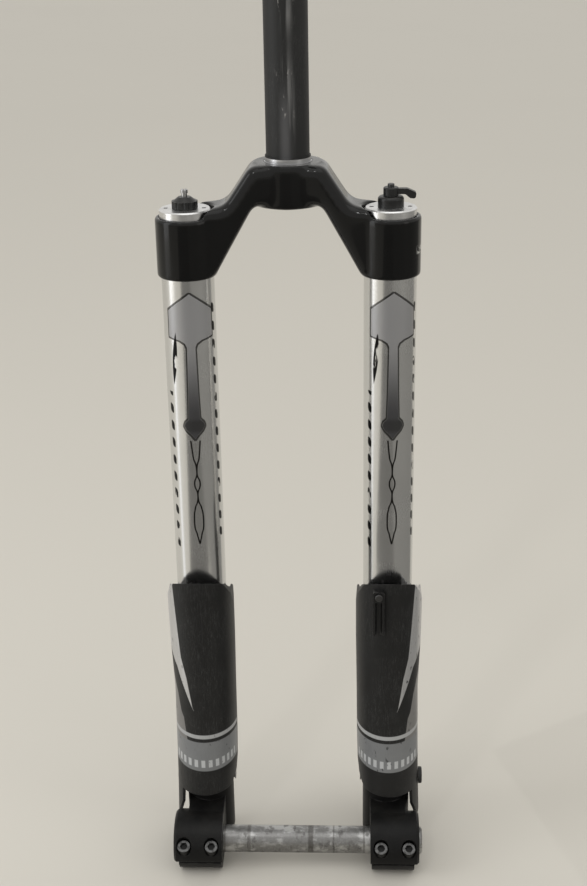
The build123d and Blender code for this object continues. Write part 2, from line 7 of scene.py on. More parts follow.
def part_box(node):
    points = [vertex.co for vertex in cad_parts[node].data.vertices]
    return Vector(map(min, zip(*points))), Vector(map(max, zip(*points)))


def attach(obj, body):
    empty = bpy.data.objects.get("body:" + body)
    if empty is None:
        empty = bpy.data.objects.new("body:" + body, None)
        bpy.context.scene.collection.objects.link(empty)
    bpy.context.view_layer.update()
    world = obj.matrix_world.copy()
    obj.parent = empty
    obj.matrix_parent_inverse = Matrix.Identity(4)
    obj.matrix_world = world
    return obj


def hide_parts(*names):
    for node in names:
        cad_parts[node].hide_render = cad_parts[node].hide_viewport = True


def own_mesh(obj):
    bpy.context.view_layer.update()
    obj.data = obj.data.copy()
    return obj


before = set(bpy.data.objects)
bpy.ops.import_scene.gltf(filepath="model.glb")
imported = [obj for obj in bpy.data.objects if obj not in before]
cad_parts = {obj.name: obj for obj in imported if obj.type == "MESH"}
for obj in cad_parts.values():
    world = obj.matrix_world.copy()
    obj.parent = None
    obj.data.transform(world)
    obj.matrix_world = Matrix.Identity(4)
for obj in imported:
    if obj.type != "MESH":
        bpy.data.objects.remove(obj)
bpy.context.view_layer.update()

# Inverted suspension fork. Metres, in the CAD frame: +Z up along the steerer, the front faces -Y,
# the rider's left is +X. Decals, wear and grain are worked out in millimetres inside the materials.

MM = 0.001

# ---- places read from the frame -----------------------------------------------------------------
TUBE_LOW, TUBE_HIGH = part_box("outer_tube_left")
LEG_X = (TUBE_LOW.x + TUBE_HIGH.x) / 2
LEG_Y = (TUBE_LOW.y + TUBE_HIGH.y) / 2
FLOOR_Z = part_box("axle_foot_left")[0].z
AXLE_LOW, AXLE_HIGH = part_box("axle")
AXLE_Y = (AXLE_LOW.y + AXLE_HIGH.y) / 2
AXLE_Z = (AXLE_LOW.z + AXLE_HIGH.z) / 2


# ---- node graphs --------------------------------------------------------------------------------
class Graph:
    """Adds nodes to a material's or a group's tree and joins them."""

    def __init__(self, tree):
        self.tree = tree

    def feed(self, socket, value):
        if isinstance(value, bpy.types.NodeSocket):
            self.tree.links.new(value, socket)
        else:
            socket.default_value = value

    def node(self, kind, settings=None, **inputs):
        made = self.tree.nodes.new(kind)
        for name, value in (settings or {}).items():
            setattr(made, name, value)
        for name, value in inputs.items():
            self.feed(made.inputs[name.replace("_", " ")], value)
        return made

    def calc(self, operation, *values, clamp=False):
        made = self.node("ShaderNodeMath", {"operation": operation, "use_clamp": clamp})
        for socket, value in zip(made.inputs, values):
            self.feed(socket, value)
        return made.outputs[0]

    def times(self, *values, clamp=False):
        return self.calc("MULTIPLY", *values, clamp=clamp)

    def plus(self, *values, clamp=False):
        return self.calc("ADD", *values, clamp=clamp)

    def minus(self, *values, clamp=False):
        return self.calc("SUBTRACT", *values, clamp=clamp)

    def step(self, value, low, high, start=0.0, end=1.0):
        """start below low, end above high, and a smooth ramp between them."""
        made = self.node("ShaderNodeMapRange", {"interpolation_type": "SMOOTHSTEP"}, Value=value,
                         From_Min=low, From_Max=high, To_Min=start, To_Max=end)
        return made.outputs["Result"]

    def within(self, value, low, high, soft):
        """1 where value lies from low to high."""
        rising = self.step(value, low - soft, low + soft)
        falling = self.step(value, high - soft, high + soft, 1.0, 0.0)
        return self.times(rising, falling)

    def both(self, *masks):
        """1 where every mask is 1."""
        found = masks[0]
        for mask in masks[1:]:
            found = self.times(found, mask)
        return found

    def either(self, *masks):
        """1 where any mask is 1."""
        found = masks[0]
        for mask in masks[1:]:
            found = self.calc("MAXIMUM", found, mask)
        return found

    def mix(self, share, under, over):
        """Colour that goes from under to over as share goes from 0 to 1."""
        made = self.tree.nodes.new("ShaderNodeMix")
        made.data_type = "RGBA"
        self.feed(made.inputs[0], share)
        for socket, value in ((made.inputs[6], under), (made.inputs[7], over)):
            self.feed(socket, value if isinstance(value, bpy.types.NodeSocket) else colour(value))
        return made.outputs[2]

    def coat(self, under, mask, share, over):
        """Colour under, with a share of another laid over it where the mask is 1."""
        return self.mix(self.times(mask, share), under, over)

    def curve(self, value, low, high, points, scale, sharp=True):
        """Height of a line drawn through (value, height) points."""
        share = self.node("ShaderNodeMapRange", Value=value, From_Min=low, From_Max=high)
        made = self.node("ShaderNodeFloatCurve", Value=share.outputs["Result"])
        line = made.mapping.curves[0]
        spots = [((at - low) / (high - low), height / scale) for at, height in points]
        line.points[0].location = spots[0]
        line.points[1].location = spots[-1]
        for spot in spots[1:-1]:
            line.points.new(*spot)
        if sharp:
            for point in line.points:
                point.handle_type = "VECTOR"
        made.mapping.update()
        return self.times(made.outputs[0], scale)

    def group(self, tree, **inputs):
        made = self.tree.nodes.new("ShaderNodeGroup")
        made.node_tree = tree
        for name, value in inputs.items():
            self.feed(made.inputs[name.replace("_", " ")], value)
        return made.outputs

    def place(self):
        """The point in the CAD frame, in millimetres, as three numbers."""
        point = self.node("ShaderNodeTexCoord").outputs["Object"]
        large = self.node("ShaderNodeVectorMath", {"operation": "SCALE"}, Scale=1000.0)
        self.tree.links.new(point, large.inputs[0])
        parts = self.node("ShaderNodeSeparateXYZ")
        self.tree.links.new(large.outputs[0], parts.inputs[0])
        return parts.outputs[0], parts.outputs[1], parts.outputs[2]

    def noise(self, scale, stretch=(1, 1, 1), detail=3.0, roughness=0.55, shift=0.0):
        """Noise with scale features a metre, drawn out along the axes where stretch is small."""
        point = self.node("ShaderNodeTexCoord").outputs["Object"]
        fitted = self.node("ShaderNodeMapping", Scale=stretch, Location=(shift, shift, shift))
        self.tree.links.new(point, fitted.inputs["Vector"])
        made = self.node("ShaderNodeTexNoise", Scale=scale, Detail=detail, Roughness=roughness)
        self.tree.links.new(fitted.outputs[0], made.inputs["Vector"])
        return made.outputs["Fac"]

    def soft_corner(self, radius):
        """Normal of a surface whose corners are rounded over by a small radius."""
        return self.node("ShaderNodeBevel", {"samples": 4}, Radius=radius).outputs["Normal"]

    def bump(self, height, distance, strength=1.0, normal=None):
        made = self.node("ShaderNodeBump", Strength=strength, Distance=distance, Height=height)
        if normal is not None:
            self.feed(made.inputs["Normal"], normal)
        return made.outputs["Normal"]


def colour(value):
    """Grey level or three parts as a colour with alpha."""
    parts = (value,) * 3 if isinstance(value, (int, float)) else tuple(value)
    return parts if len(parts) == 4 else parts + (1.0,)


def new_group(name, inputs, outputs):
    """Empty shared group with its sockets; gives its tree, graph, inputs and output node."""
    tree = bpy.data.node_groups.new(name, "ShaderNodeTree")
    for label, value in inputs:
        socket = tree.interface.new_socket(label, in_out="INPUT", socket_type="NodeSocketFloat")
        socket.default_value = value
    for label in outputs:
        tree.interface.new_socket(label, in_out="OUTPUT", socket_type="NodeSocketFloat")
    graph = Graph(tree)
    given = graph.node("NodeGroupInput").outputs
    result = graph.node("NodeGroupOutput").inputs
    return tree, graph, given, result


def leg_place_group():
    """Where a point lies on a leg: degrees round from its front, and height in millimetres."""
    tree, graph, given, result = new_group("leg_place", [("Side", 1.0)], ["Turn", "Height"])
    x, y, z = graph.place()
    across = graph.minus(graph.times(x, given["Side"]), LEG_X / MM)
    ahead = graph.minus(LEG_Y / MM, y)
    turn = graph.times(graph.calc("ARCTAN2", across, ahead), 180 / math.pi)
    graph.feed(result["Turn"], turn)
    graph.feed(result["Height"], z)
    return tree


def edge_wear_group():
    """Mask of the corners that rub bare, broken up by noise."""
    tree, graph, given, result = new_group(
        "edge_wear", [("Radius", 0.0006), ("Spread", 0.5), ("Scale", 300.0)], ["Wear"])
    rounded = graph.node("ShaderNodeBevel", {"samples": 4}, Radius=given["Radius"])
    plain = graph.node("ShaderNodeNewGeometry").outputs["Normal"]
    match = graph.node("ShaderNodeVectorMath", {"operation": "DOT_PRODUCT"})
    graph.feed(match.inputs[0], rounded.outputs[0])
    graph.feed(match.inputs[1], plain)
    corner = graph.step(match.outputs["Value"], 0.82, 0.995, 1.0, 0.0)
    patches = graph.node("ShaderNodeTexNoise", Scale=given["Scale"], Detail=4.0)
    graph.feed(patches.inputs["Vector"], graph.node("ShaderNodeTexCoord").outputs["Object"])
    limit = graph.minus(1.0, given["Spread"])
    broken = graph.step(graph.minus(patches.outputs["Fac"], limit), -0.06, 0.08)
    graph.feed(result["Wear"], graph.times(corner, broken))
    return tree


def scratches_group():
    """Fine scratches in the directions that hands, cables and rags leave them."""
    tree, graph, given, result = new_group(
        "scratches", [("Scale", 120.0), ("Cover", 0.3)], ["Scratch"])
    found = None
    for angle, stretch, shift in ((0.35, (14, 14, 0.7), 0.0), (-0.5, (12, 12, 0.9), 3.7),
                                  (1.3, (10, 10, 0.8), 8.1)):
        point = graph.node("ShaderNodeTexCoord").outputs["Object"]
        turned = graph.node("ShaderNodeMapping", Rotation=(angle, angle * 0.7, 0.0), Scale=stretch,
                            Location=(shift, shift, shift))
        graph.tree.links.new(point, turned.inputs["Vector"])
        lines = graph.node("ShaderNodeTexNoise", Scale=given["Scale"], Detail=2.0)
        graph.tree.links.new(turned.outputs[0], lines.inputs["Vector"])
        thin = graph.calc("ABSOLUTE", graph.minus(lines.outputs["Fac"], 0.5))
        mark = graph.step(thin, 0.0, 0.012, 1.0, 0.0)
        found = mark if found is None else graph.calc("MAXIMUM", found, mark)
    where = graph.noise(28.0, detail=4.0, shift=1.9)
    limit = graph.minus(1.0, given["Cover"])
    shown = graph.step(graph.minus(where, limit), -0.08, 0.1)
    graph.feed(result["Scratch"], graph.times(found, shown))
    return tree


def moulded_grain_group():
    """Height of a fine cast or moulded skin."""
    tree, graph, given, result = new_group("moulded_grain", [("Scale", 900.0)], ["Height"])
    point = graph.node("ShaderNodeTexCoord").outputs["Object"]
    cells = graph.node("ShaderNodeTexVoronoi", {"feature": "SMOOTH_F1"}, Scale=given["Scale"])
    graph.feed(cells.inputs["Vector"], point)
    cloud = graph.node("ShaderNodeTexNoise", Scale=given["Scale"], Detail=5.0)
    graph.feed(cloud.inputs["Vector"], point)
    height = graph.plus(cells.outputs["Distance"], cloud.outputs["Fac"])
    graph.feed(result["Height"], height)
    return tree


def dust_group():
    """Mask of the dust that settles on faces which look up, thicker in patches."""
    tree, graph, given, result = new_group("dust", [("Amount", 0.5)], ["Dust"])
    normal = graph.node("ShaderNodeNewGeometry").outputs["Normal"]
    parts = graph.node("ShaderNodeSeparateXYZ")
    graph.feed(parts.inputs[0], normal)
    up = graph.step(parts.outputs[2], 0.2, 1.0)
    patches = graph.step(graph.noise(90.0, detail=5.0), 0.35, 0.7)
    specks = graph.step(graph.noise(1500.0, detail=2.0), 0.56, 0.66)
    film = graph.times(up, graph.plus(patches, graph.times(specks, 0.5)))
    graph.feed(result["Dust"], graph.times(film, given["Amount"], clamp=True))
    return tree


GROUPS = {"leg_place": leg_place_group(), "edge_wear": edge_wear_group(),
          "scratches": scratches_group(), "grain": moulded_grain_group(), "dust": dust_group()}


def start_material(name, **fixed):
    """Material with its own shader; fixed values are set on the shader's sockets."""
    made = bpy.data.materials.new(name)
    made.use_nodes = True
    shader = made.node_tree.nodes["Principled BSDF"]
    for label, value in fixed.items():
        shader.inputs[label.replace("_", " ")].default_value = value
    return made, Graph(made.node_tree), shader.inputs


def finish_from(graph, shader, base=None, roughness=None, metallic=None, normal=None):
    """Feed the given values into the shader; what is None keeps its own setting."""
    for label, value in (("Base Color", base), ("Roughness", roughness), ("Metallic", metallic),
                         ("Normal", normal)):
        if value is None:
            continue
        if label == "Base Color" and not isinstance(value, bpy.types.NodeSocket):
            value = colour(value)
        graph.feed(shader[label], value)


# ---- materials ----------------------------------------------------------------------------------
# heights in millimetres, each zone as from, to and how far it fades
STEM_ZONE, SPACER_ZONE = (88.0, 125.0, 12.0), (18.0, 62.0, 14.0)
SEAT_TOP = (2.1, 2.4)
SEAT_DARK, SEAT_BRIGHT = (0.42, 0.42, 0.43), (0.72, 0.72, 0.73)


def steerer_charcoal():
    """Matt charcoal steerer: long grey scuffs where stem and spacers were slid on and off, and a
    painted highlight, a lighter grey streak low down its front.
    """
    made, graph, shader = start_material("steerer_charcoal", Specular_IOR_Level=0.35)
    x, y, z = graph.place()
    streaks = graph.step(graph.noise(60.0, (3.2, 3.2, 0.16), 5.0, 0.6), 0.50, 0.72)
    front = graph.both(graph.step(y, -14.0, -9.0, 1.0, 0.0), graph.within(x, -5.0, 4.5, 3.0))
    chips = graph.step(graph.noise(210.0, (1, 1, 0.35), 4.0, 0.6, 2.0), 0.60, 0.68)
    low = graph.within(z, *SPACER_ZONE)
    high = graph.within(z, *STEM_ZONE)
    slid = graph.plus(graph.times(low, 0.8), graph.plus(high, 0.25), clamp=True)
    rubbed = graph.both(streaks, front, slid)
    bright = graph.both(chips, front, graph.either(low, high))
    scratch = graph.group(GROUPS["scratches"], Scale=90.0, Cover=0.5)["Scratch"]
    cloud = graph.noise(25.0, detail=5.0)
    base = graph.mix(cloud, 0.007, 0.013)
    # painted highlight: a lighter grey streak down the front of the steerer, fading out between 22 and
    # 62 mm up
    painted_sheen = graph.both(graph.within(x, -3.6, 2.4, 2.6), graph.step(y, -13.0, -9.0, 1.0, 0.0),
                       graph.step(z, 22.0, 62.0, 1.0, 0.0))
    base = graph.coat(base, painted_sheen, 0.55, (0.115, 0.115, 0.12))
    base = graph.coat(base, rubbed, 0.75, 0.17)
    base = graph.coat(base, scratch, 0.25, 0.08)
    base = graph.coat(base, bright, 0.8, (0.36, 0.35, 0.34))
    # the crown race seat at the foot is machined bright
    seat = graph.step(z, *SEAT_TOP, 1.0, 0.0)
    turning = graph.noise(700.0, (0.05, 0.05, 4.0), 2.0)
    base = graph.mix(seat, base, graph.mix(turning, SEAT_DARK, SEAT_BRIGHT))
    roughness = graph.minus(0.55, graph.times(bright, 0.15))
    roughness = graph.minus(roughness, graph.times(seat, 0.25))
    metallic = graph.calc("MAXIMUM", seat, graph.times(bright, 0.7))
    grain = graph.group(GROUPS["grain"], Scale=1400.0)["Height"]
    finish_from(graph, shader, base, roughness, metallic, graph.bump(grain, 0.00002, 0.5))
    return made


# the rubbed chip low on the outside of the left socket: how far out, how high, how far ahead
CHIP_OUT, CHIP_HEIGHT, CHIP_AHEAD = (83.0, 85.5), (-56.5, -51.5, 0.9), (-36.0, -22.5, 1.2)


def crown_gloss_black():
    """Deep gloss black paint on the forged crown, with a faint ripple, dust and a few chips."""
    made, graph, shader = start_material("crown_gloss_black", Specular_IOR_Level=0.14, Coat_Weight=0.22,
                                         Coat_Roughness=0.05)
    x, y, z = graph.place()
    wear = graph.group(GROUPS["edge_wear"], Radius=0.0008, Spread=0.38, Scale=260.0)["Wear"]
    scratch = graph.group(GROUPS["scratches"], Scale=70.0, Cover=0.42)["Scratch"]
    dust = graph.group(GROUPS["dust"], Amount=0.05)["Dust"]
    out = graph.step(x, *CHIP_OUT)
    height = graph.within(z, *CHIP_HEIGHT)
    ahead = graph.within(y, *CHIP_AHEAD)
    flaked = graph.step(graph.noise(420.0, (1, 1, 0.8), 4.0), 0.46, 0.54)
    chip = graph.both(out, height, ahead, flaked)
    base = graph.mix(graph.noise(14.0), 0.0035, 0.0060)
    base = graph.coat(base, dust, 0.7, (0.16, 0.155, 0.14))
    base = graph.coat(base, wear, 0.25, 0.30)
    base = graph.mix(chip, base, (0.50, 0.50, 0.48))
    smear = graph.step(graph.noise(22.0, detail=6.0), 0.35, 0.75)
    roughness = graph.plus(0.16, graph.times(smear, 0.12))
    roughness = graph.plus(roughness, graph.times(dust, 0.8))
    roughness = graph.plus(roughness, graph.times(scratch, 0.18))
    ripple = graph.noise(240.0, detail=2.0)
    normal = graph.bump(ripple, 0.00004, 0.5)
    finish_from(graph, shader, base, roughness, None, normal)
    return made


# half widths of the panel and the braid at heights down a tube, in millimetres
PANEL_POINTS = ((-184.0, 0.0), (-180.5, 2.6), (-177.0, 6.0), (-173.5, 7.8), (-170.5, 6.8),
                (-168.0, 4.4), (-150.0, 3.8), (-118.0, 3.3), (-115.4, 4.4), (-113.2, 8.0),
                (-111.6, 17.0), (-92.5, 16.8), (-80.0, 0.0))
BRAID_POINTS = ((-262.0, 0.0), (-254.0, 1.7), (-245.0, 3.2), (-234.0, 2.1), (-224.5, 0.0),
                (-216.0, 1.9), (-208.0, 0.0), (-197.0, 1.9), (-184.0, 3.2))
PANEL_LINE = 0.55            # half the height that the panel's dark line takes up
DECAL_TURN = 7.0             # the decals sit this many degrees towards the rider's left
TUBE_R = 17.5
# rows of dashes: degrees round from the front, then the lowest and highest height
DASH_ROWS = ((-50.0, -270.0, -150.0), (67.0, -262.0, -88.0))
DASH_PITCH = 12.6
LEAF_TURN, LEAF_MIDDLE, LEAF_HALF = -33.0, -126.0, 19.0


def panel_masks(graph, around, height):
    """Mask of the grey panel on a tube's front, and of the thin dark line round it."""
    widths = []
    for shift in (-PANEL_LINE, 0.0, PANEL_LINE):
        at = graph.plus(height, shift)
        widths.append(graph.curve(at, PANEL_POINTS[0][0], PANEL_POINTS[-1][0], PANEL_POINTS, 20.0))
    widest = graph.either(*widths)
    narrowest = graph.calc("MINIMUM", graph.calc("MINIMUM", widths[0], widths[1]), widths[2])
    inside = graph.within(height, -183.0, -80.6, 0.1)
    outer = graph.step(graph.minus(around, widest), 0.35, 0.65, 1.0, 0.0)
    inner = graph.step(graph.minus(around, narrowest), -0.65, -0.35, 1.0, 0.0)
    outer = graph.both(outer, graph.within(height, -184.0, -79.8, 0.1))
    inner = graph.both(inner, inside)
    return inner, graph.minus(outer, inner, clamp=True)


def braid_mask(graph, around, height):
    """Two thin lines that cross and part down the front of a tube."""
    reach = graph.curve(height, BRAID_POINTS[0][0], BRAID_POINTS[-1][0], BRAID_POINTS, 4.0, False)
    off = graph.calc("ABSOLUTE", graph.minus(around, reach))
    line = graph.step(off, 0.42, 0.66, 1.0, 0.0)
    return graph.both(line, graph.within(height, -262.0, -184.0, 0.3))


def flank_marks(graph, turn, height):
    """Plain slanted dashes up each flank of a tube, and one slim leaf."""
    found = None
    for centre, first, last in DASH_ROWS:
        leant = graph.plus(height, graph.times(turn, 0.16))
        cell = graph.times(graph.calc("FRACT", graph.calc("DIVIDE", leant, DASH_PITCH)), DASH_PITCH)
        reach = graph.calc("ABSOLUTE", graph.minus(turn, centre))
        half = graph.step(reach, 3.0, 7.0, 3.2, 1.6)
        off = graph.calc("ABSOLUTE", graph.minus(cell, DASH_PITCH / 2))
        mark = graph.step(graph.minus(off, half), -0.25, 0.25, 1.0, 0.0)
        mark = graph.both(mark, graph.step(reach, 5.6, 6.4, 1.0, 0.0),
                          graph.within(height, first, last, 0.3))
        found = mark if found is None else graph.either(found, mark)
    # one long slim leaf above the dashes on the flank away from the disc
    down = graph.calc("DIVIDE", graph.minus(height, LEAF_MIDDLE), LEAF_HALF)
    room = graph.minus(1.0, graph.times(down, down), clamp=True)
    bow = graph.plus(LEAF_TURN, graph.times(down, 5.0))
    off = graph.calc("ABSOLUTE", graph.minus(turn, bow))
    leaf = graph.step(graph.minus(off, graph.times(room, 6.5)),
                      -0.8, 0.4, 1.0, 0.0)
    leaf = graph.both(leaf, graph.within(height, LEAF_MIDDLE - LEAF_HALF + 0.5,
                                         LEAF_MIDDLE + LEAF_HALF - 0.5, 0.3))
    return graph.either(found, leaf)


def polished_tube(name, side):
    """Polished outer tube with its decals under lacquer: panel, braid and flank dashes."""
    made, graph, shader = start_material(f"polished_tube_{name}")
    spot = graph.group(GROUPS["leg_place"], Side=float(side))
    turn = graph.times(spot["Turn"], float(side))
    height = spot["Height"]
    shifted = graph.minus(turn, DECAL_TURN)
    around = graph.calc("ABSOLUTE", graph.times(shifted, TUBE_R * math.pi / 180))
    panel, line = panel_masks(graph, around, height)
    braid = braid_mask(graph, around, height)
    marks = flank_marks(graph, turn, height)
    # polishing lines run round the tube; handling scratches run along it
    rings = graph.noise(800.0, (0.04, 0.04, 1.6), 3.0)
    along = graph.noise(500.0, (2.4, 2.4, 0.05), 3.0)
    scratch = graph.group(GROUPS["scratches"], Scale=80.0, Cover=0.45)["Scratch"]
    cloud = graph.noise(30.0, detail=5.0)
    metal = graph.mix(cloud, (0.66, 0.66, 0.655), (0.74, 0.74, 0.735))
    metal = graph.coat(metal, scratch, 0.25, 0.45)
    fade = graph.step(height, -168.0, -112.0)
    paint = graph.mix(fade, (0.08, 0.08, 0.085), (0.36, 0.36, 0.37))
    blob = graph.within(height, -178.0, -169.0, 2.2)
    paint = graph.coat(paint, blob, 0.8, 0.045)
    base = graph.mix(panel, metal, paint)
    base = graph.coat(base, line, 0.85, 0.04)
    base = graph.coat(base, braid, 0.96, (0.020, 0.016, 0.014))
    worn = graph.step(graph.noise(160.0, (1, 1, 0.5), 4.0), 0.36, 0.42)
    base = graph.mix(graph.both(marks, worn), base, 0.012)
    metallic = graph.minus(1.0, graph.times(panel, 0.35))
    roughness = graph.plus(0.15, graph.times(cloud, 0.10))
    roughness = graph.plus(roughness, graph.times(panel, 0.16))
    roughness = graph.plus(roughness, graph.times(scratch, 0.12))
    polish = graph.plus(graph.times(rings, 0.5), graph.times(along, 0.5))
    normal = graph.bump(polish, 0.00001, 0.55)
    normal = graph.bump(panel, 0.00006, 0.6, normal)
    finish_from(graph, shader, base, roughness, metallic, normal)
    return made


def cap_silver():
    """Silver anodised cap with the rings of its turning, fine scratches and a little dust."""
    made, graph, shader = start_material("cap_silver", Metallic=1.0)
    turned = graph.noise(900.0, (1, 1, 0.02), 2.0)
    scratch = graph.group(GROUPS["scratches"], Scale=160.0, Cover=0.5)["Scratch"]
    dust = graph.group(GROUPS["dust"], Amount=0.35)["Dust"]
    base = graph.mix(graph.noise(130.0, detail=4.0), 0.60, 0.82)
    base = graph.coat(base, scratch, 0.5, 0.35)
    base = graph.coat(base, dust, 0.35, (0.20, 0.19, 0.17))
    roughness = graph.plus(0.28, graph.times(dust, 0.3))
    finish_from(graph, shader, base, roughness, None, graph.bump(turned, 0.00003, 0.6))
    return made


# edges of the guards' prints: degrees round from the front at each height in millimetres
STRIPE_INNER = ((-393.0, 14.0), (-390.0, 16.5), (-366.0, 24.5), (-350.0, 33.5), (-336.0, 36.5),
                (-321.0, 39.5), (-299.0, 44.0), (-285.0, 47.0))
STRIPE_OUTER = ((-393.0, 14.0), (-390.0, 16.8), (-376.0, 29.5), (-360.0, 45.0), (-351.0, 66.0),
                (-340.0, 92.0), (-322.0, 124.0), (-285.0, 150.0))
EDGE_INNER = ((-425.0, 27.0), (-412.0, 31.0), (-401.0, 35.0), (-397.0, 41.0), (-384.0, 50.0),
              (-374.0, 61.0), (-358.0, 88.0))
STRIPE_SPAN, STRIP_SPAN = (-392.5, -289.5), (-425.0, -358.0)
STRIPE_REACH, STRIP_REACH = 160.0, 100.0         # the furthest round that each one's curve can go
BAND_TOP, BAND_LOW = -419.0, -443.0
BAND_BACK = (-84.0, -80.0)                       # the band fades out here, short of the open back
TICK_ROW, TICK_TURNS, TICK_PITCH = (3.2, 9.4), (-68.0, 62.0), 11.0
LINE_ABOVE = (3.0, 6.2)                          # the thin line, above the band's top
FOIL_DARK, FOIL_BRIGHT = (0.50, 0.50, 0.505), (0.64, 0.64, 0.65)
BAND_DARK, BAND_BRIGHT = (0.15, 0.155, 0.16), (0.20, 0.205, 0.21)


def guard_plastic(name, side):
    """Dark satin plastic with fine grain; a silver stripe, an edge strip and a plain grey band."""
    made, graph, shader = start_material(f"guard_plastic_{name}", Specular_IOR_Level=0.25)
    spot = graph.group(GROUPS["leg_place"], Side=float(side))
    turn, height = spot["Turn"], spot["Height"]
    inner = graph.curve(height, STRIPE_INNER[0][0], STRIPE_INNER[-1][0], STRIPE_INNER,
                        STRIPE_REACH)
    outer = graph.curve(height, STRIPE_OUTER[0][0], STRIPE_OUTER[-1][0], STRIPE_OUTER,
                        STRIPE_REACH)
    stripe = graph.both(graph.step(graph.minus(turn, inner), -0.7, 0.7),
                        graph.step(graph.minus(turn, outer), -0.7, 0.7, 1.0, 0.0),
                        graph.within(height, *STRIPE_SPAN, 0.4))
    edge = graph.curve(height, EDGE_INNER[0][0], EDGE_INNER[-1][0], EDGE_INNER, STRIP_REACH)
    strip = graph.both(graph.step(graph.minus(turn, edge), -0.7, 0.7),
                       graph.within(height, *STRIP_SPAN, 0.4))
    sag = graph.times(graph.calc("COSINE", graph.times(turn, 0.016)), -2.5)
    low = graph.minus(height, graph.plus(BAND_LOW + 1.5, sag))
    band = graph.both(graph.step(low, -0.3, 0.3),
                      graph.step(height, BAND_TOP - 0.3, BAND_TOP + 0.3, 1.0, 0.0),
                      graph.step(turn, *BAND_BACK))
    scuffed = graph.step(graph.noise(120.0, (1, 1, 0.6), 5.0, 0.6), 0.60, 0.72)
    scratch = graph.group(GROUPS["scratches"], Scale=75.0, Cover=0.55)["Scratch"]
    wear = graph.group(GROUPS["edge_wear"], Radius=0.0008, Spread=0.5, Scale=240.0)["Wear"]
    dust = graph.group(GROUPS["dust"], Amount=0.4)["Dust"]
    base = graph.mix(graph.noise(45.0, detail=5.0), 0.0070, 0.0115)
    base = graph.coat(base, scuffed, 0.25, 0.030)
    foil = graph.mix(graph.noise(200.0, (1, 1, 0.1), 3.0), FOIL_DARK, FOIL_BRIGHT)
    base = graph.mix(stripe, base, foil)
    base = graph.mix(strip, base, (0.17, 0.165, 0.16))
    base = graph.mix(band, base, graph.mix(graph.noise(60.0), BAND_DARK, BAND_BRIGHT))
    # plain upright ticks along the band and one thin line above it
    row = graph.within(low, *TICK_ROW, 0.3)
    share = graph.calc("FRACT", graph.calc("DIVIDE", graph.plus(turn, 200.0), TICK_PITCH))
    ticks = graph.both(row, graph.within(share, 0.22, 0.74, 0.05), graph.within(turn, *TICK_TURNS, 0.6))
    base = graph.mix(graph.both(ticks, band), base, (0.44, 0.45, 0.46))
    thin = graph.both(graph.within(height, BAND_TOP + LINE_ABOVE[0], BAND_TOP + LINE_ABOVE[1], 0.3),
                      graph.step(turn, *BAND_BACK))
    base = graph.mix(thin, base, (0.36, 0.365, 0.37))
    printed = graph.either(stripe, strip, band, thin)
    rubbed = graph.both(printed, graph.step(graph.noise(330.0, (1, 1, 0.4), 4.0, 0.6), 0.63, 0.68))
    base = graph.coat(base, rubbed, 0.8, 0.03)
    base = graph.coat(base, scratch, 0.3, 0.10)
    base = graph.coat(base, wear, 0.35, 0.11)
    base = graph.coat(base, dust, 0.3, (0.17, 0.16, 0.14))
    metallic = graph.times(stripe, 0.8)
    roughness = graph.minus(0.46, graph.times(printed, 0.12))
    roughness = graph.plus(roughness, graph.times(scuffed, 0.12))
    grain = graph.group(GROUPS["grain"], Scale=1500.0)["Height"]
    bare = graph.minus(1.0, graph.times(printed, 0.75))
    normal = graph.bump(graph.times(grain, bare), 0.00005, 0.6, graph.soft_corner(0.0007))
    normal = graph.bump(printed, 0.00008, 0.7, normal)
    finish_from(graph, shader, base, roughness, metallic, normal)
    return made


def foot_satin_black():
    """Satin black paint on cast feet, rubbed on its corners, with scratches and dust."""
    made, graph, shader = start_material("foot_satin_black", Specular_IOR_Level=0.15)
    wear = graph.group(GROUPS["edge_wear"], Radius=0.0009, Spread=0.46, Scale=220.0)["Wear"]
    scratch = graph.group(GROUPS["scratches"], Scale=85.0, Cover=0.5)["Scratch"]
    dust = graph.group(GROUPS["dust"], Amount=0.09)["Dust"]
    base = graph.mix(graph.noise(40.0, detail=5.0), 0.0032, 0.0060)
    base = graph.coat(base, scratch, 0.2, 0.06)
    base = graph.coat(base, dust, 0.4, (0.13, 0.12, 0.10))
    base = graph.coat(base, wear, 0.3, 0.18)
    roughness = graph.plus(0.34, graph.times(dust, 0.3))
    roughness = graph.plus(roughness, graph.times(graph.noise(70.0), 0.14))
    metallic = graph.times(wear, 0.6)
    grain = graph.group(GROUPS["grain"], Scale=800.0)["Height"]
    normal = graph.bump(grain, 0.00006, 0.5, graph.soft_corner(0.0012))
    finish_from(graph, shader, base, roughness, metallic, normal)
    return made


PAIR_X, BOLT_HALF_GAP = 73.0, 10.2               # the middle of each pair, and half of its spacing
BOLT_AHEAD, BOLT_UP = -11.78, -6.8               # a head's middle in Y and Z, from the axle's
BOLT_LEAN = (0.866, 0.5)                         # cosine and sine of the bolts' 30 degree lean


